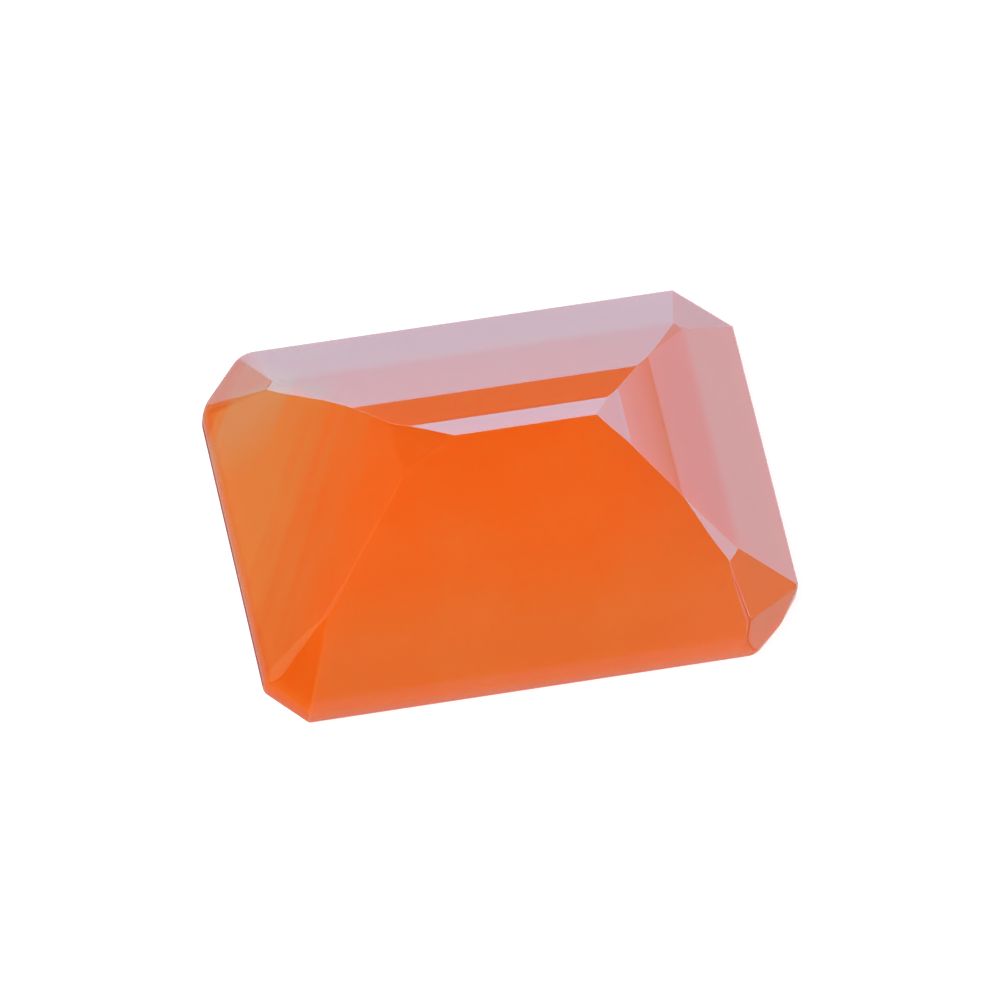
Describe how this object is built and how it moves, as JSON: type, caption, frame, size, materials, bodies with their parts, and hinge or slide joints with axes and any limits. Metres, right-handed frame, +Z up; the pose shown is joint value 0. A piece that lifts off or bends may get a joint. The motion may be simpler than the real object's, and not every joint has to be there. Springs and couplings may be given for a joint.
{
  "type": "faceted carnelian",
  "caption": "Loose step-cut carnelian with cut corners, translucent orange, resting on its table with the keel up.",
  "frame": {"origin": "centre of the bounding box on the plane that the stone's table rests on", "axes": "+X along the stone's long side, +Y across it, +Z up from the table to the keel"},
  "size_m": [0.016, 0.012, 0.0066],
  "materials": {
    "stone": "polished, translucent"
  },
  "bodies": {
    "root": {"carnelian": "stone"}
  },
  "joints": []
}
